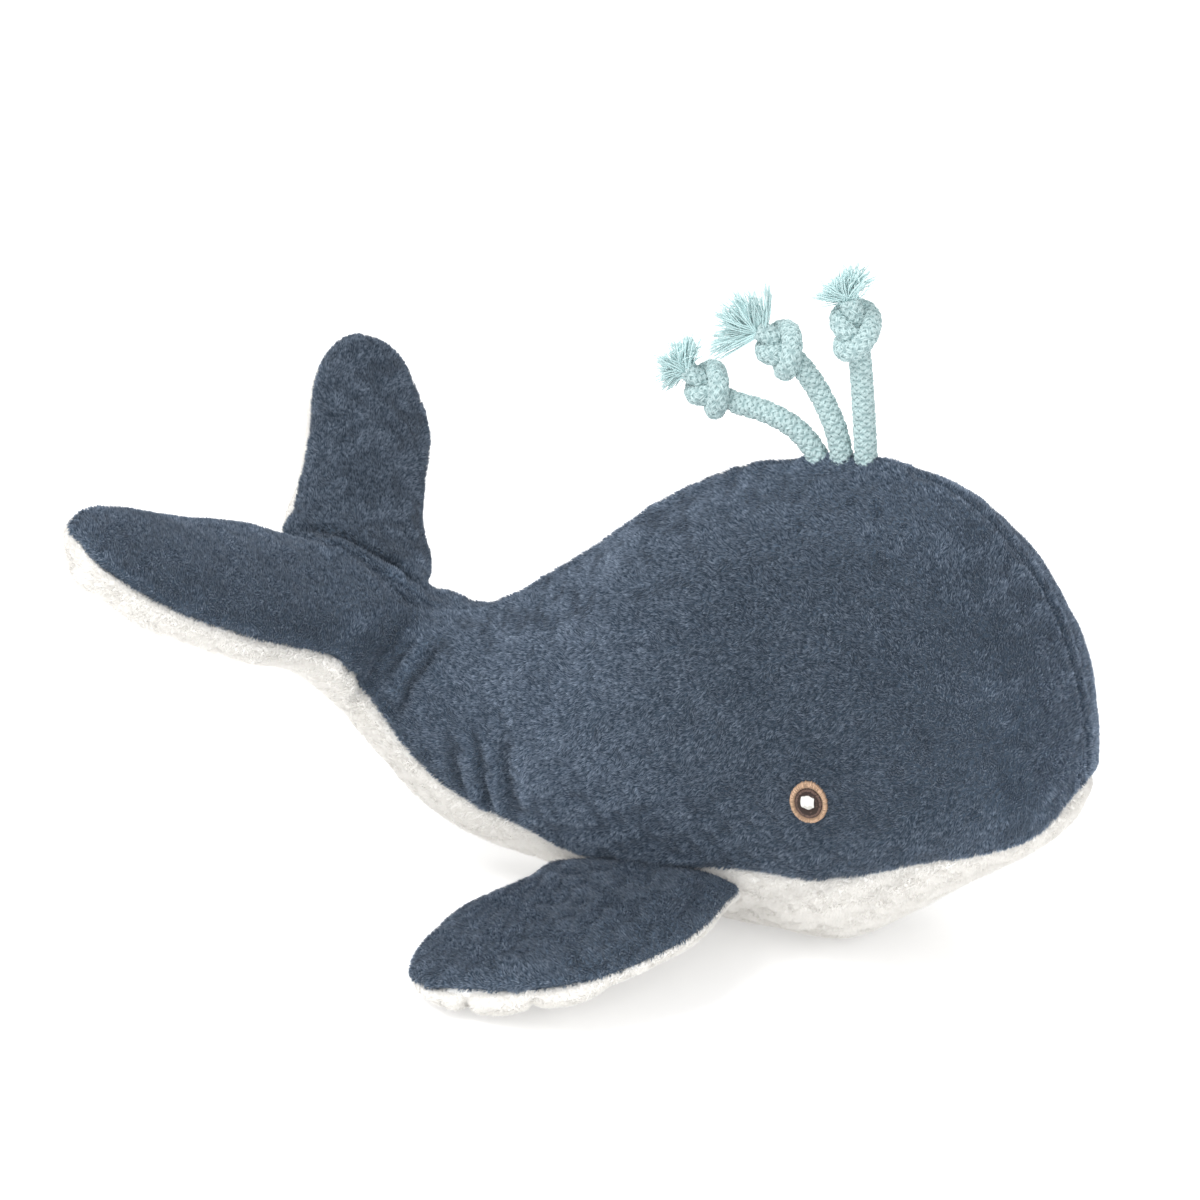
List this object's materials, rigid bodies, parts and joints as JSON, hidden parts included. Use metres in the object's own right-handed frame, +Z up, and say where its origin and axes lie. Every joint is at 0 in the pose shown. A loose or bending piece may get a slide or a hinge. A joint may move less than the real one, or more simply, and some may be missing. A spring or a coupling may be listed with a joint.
{
  "type": "plush whale",
  "caption": "Stuffed whale of short-pile plush, blue above and white below, with a bending tail, folding flukes, flapping flippers and knotted cords on its head",
  "frame": {"origin": "On the middle plane, on the flat rest under the belly, below the cords", "axes": "+X towards the nose, +Y to the whale's left, +Z up; millimetres in the source, metres here"},
  "size_m": [0.2777, 0.2056, 0.1964],
  "materials": {
    "blue_plush": "soft short pile, matt, with a faint silvery nap",
    "white_plush": "soft short pile, matt",
    "fibre_filling": "loose white fibre, matt",
    "teal_cord": "braided cotton cord, matt",
    "tan_thread": "satin stitch",
    "brown_thread": "satin stitch",
    "white_thread": "satin stitch"
  },
  "bodies": {
    "body": {"right_side_panel": "blue_plush", "left_side_panel": "blue_plush", "belly_panel": "white_plush", "body_stuffing": "fibre_filling", "right_eye_ring": "tan_thread", "right_eye_iris": "brown_thread", "right_eye_highlight": "white_thread", "left_eye_ring": "tan_thread", "left_eye_iris": "brown_thread", "left_eye_highlight": "white_thread", "rear_cord": "teal_cord", "rear_knot": "teal_cord", "rear_frayed_end": "teal_cord", "middle_cord": "teal_cord", "middle_knot": "teal_cord", "middle_frayed_end": "teal_cord", "front_cord": "teal_cord", "front_knot": "teal_cord", "front_frayed_end": "teal_cord"},
    "tail": {"right_tail_panel": "blue_plush", "right_tail_underside": "white_plush", "left_tail_panel": "blue_plush", "left_tail_underside": "white_plush", "tail_stuffing": "fibre_filling"},
    "right_fluke": {"right_fluke_top": "blue_plush", "right_fluke_underside": "white_plush", "right_fluke_stuffing": "fibre_filling"},
    "left_fluke": {"left_fluke_top": "blue_plush", "left_fluke_underside": "white_plush", "left_fluke_stuffing": "fibre_filling"},
    "right_flipper": {"right_flipper_top": "blue_plush", "right_flipper_underside": "white_plush", "right_flipper_stuffing": "fibre_filling"},
    "left_flipper": {"left_flipper_top": "blue_plush", "left_flipper_underside": "white_plush", "left_flipper_stuffing": "fibre_filling"}
  },
  "joints": [
    {"name": "tail_bend", "type": "hinge", "parent": "body", "child": "tail", "pos_m": [-0.10512, 0, 0.04925], "axis": [0, 1, 0], "range_deg": [-25, 25], "stiffness_Nm_per_rad": 4},
    {"name": "right_fluke_fold", "type": "hinge", "parent": "tail", "child": "right_fluke", "pos_m": [-0.16141, -0.03282, 0.08708], "axis": [-0.6197, 0.7391, 0.264], "range_deg": [-30, 30], "stiffness_Nm_per_rad": 0.6},
    {"name": "left_fluke_fold", "type": "hinge", "parent": "tail", "child": "left_fluke", "pos_m": [-0.16141, 0.03282, 0.08708], "axis": [0.6197, 0.7391, -0.264], "range_deg": [-30, 30], "stiffness_Nm_per_rad": 0.6},
    {"name": "right_flipper_flap", "type": "hinge", "parent": "body", "child": "right_flipper", "pos_m": [-0.03629, -0.04459, 0.0197], "axis": [-0.9579, 0.2325, -0.1684], "range_deg": [-30, 50], "stiffness_Nm_per_rad": 0.6},
    {"name": "left_flipper_flap", "type": "hinge", "parent": "body", "child": "left_flipper", "pos_m": [-0.03629, 0.04459, 0.0197], "axis": [0.9579, 0.2325, 0.1684], "range_deg": [-30, 50], "stiffness_Nm_per_rad": 0.6}
  ]
}
